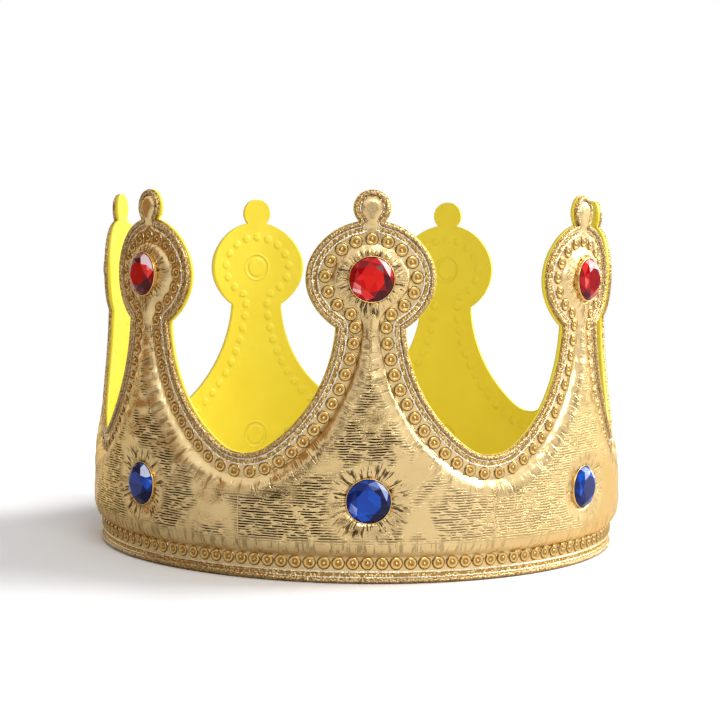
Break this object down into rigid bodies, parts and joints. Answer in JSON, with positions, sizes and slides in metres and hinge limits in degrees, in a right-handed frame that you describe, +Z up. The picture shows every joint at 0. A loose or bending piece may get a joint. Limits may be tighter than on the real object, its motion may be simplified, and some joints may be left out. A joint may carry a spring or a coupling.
{
  "type": "padded party crown",
  "caption": "Ring-shaped party crown with waisted points, oval heads and small finials, a padded gold front on a yellow lining, set stones and a hook-tape closure.",
  "frame": {"origin": "on the surface the crown stands on, under the middle of its ring", "axes": "+Z up through the ring, -Y towards the front point, +X to the right as seen from the front"},
  "size_m": [0.1936, 0.1947, 0.1258],
  "materials": {
    "gold_film": "metallised gold film on foam, finely creased",
    "yellow_sheet": "smooth soft plastic sheet",
    "gold_setting": "metallised gold, polished",
    "red_stone": "faceted, foil-backed",
    "blue_stone": "faceted, foil-backed",
    "strap_webbing": "woven nylon",
    "loop_tape": "brushed loop pile",
    "hook_tape": "moulded hooks"
  },
  "bodies": {
    "root": {"yellow_lining": "yellow_sheet", "gold_front": "gold_film", "closing_strap": "strap_webbing", "loop_patch": "loop_tape", "hook_patch": "hook_tape", "red_setting_1": "gold_setting", "red_setting_2": "gold_setting", "red_setting_3": "gold_setting", "red_setting_4": "gold_setting", "red_setting_5": "gold_setting", "red_setting_6": "gold_setting", "red_setting_7": "gold_setting", "blue_setting_1": "gold_setting", "blue_setting_2": "gold_setting", "blue_setting_3": "gold_setting", "blue_setting_4": "gold_setting", "blue_setting_5": "gold_setting", "blue_setting_6": "gold_setting", "blue_setting_7": "gold_setting", "red_stone_1": "red_stone", "red_stone_2": "red_stone", "red_stone_3": "red_stone", "red_stone_4": "red_stone", "red_stone_5": "red_stone", "red_stone_6": "red_stone", "red_stone_7": "red_stone", "blue_stone_1": "blue_stone", "blue_stone_2": "blue_stone", "blue_stone_3": "blue_stone", "blue_stone_4": "blue_stone", "blue_stone_5": "blue_stone", "blue_stone_6": "blue_stone", "blue_stone_7": "blue_stone"}
  },
  "joints": []
}
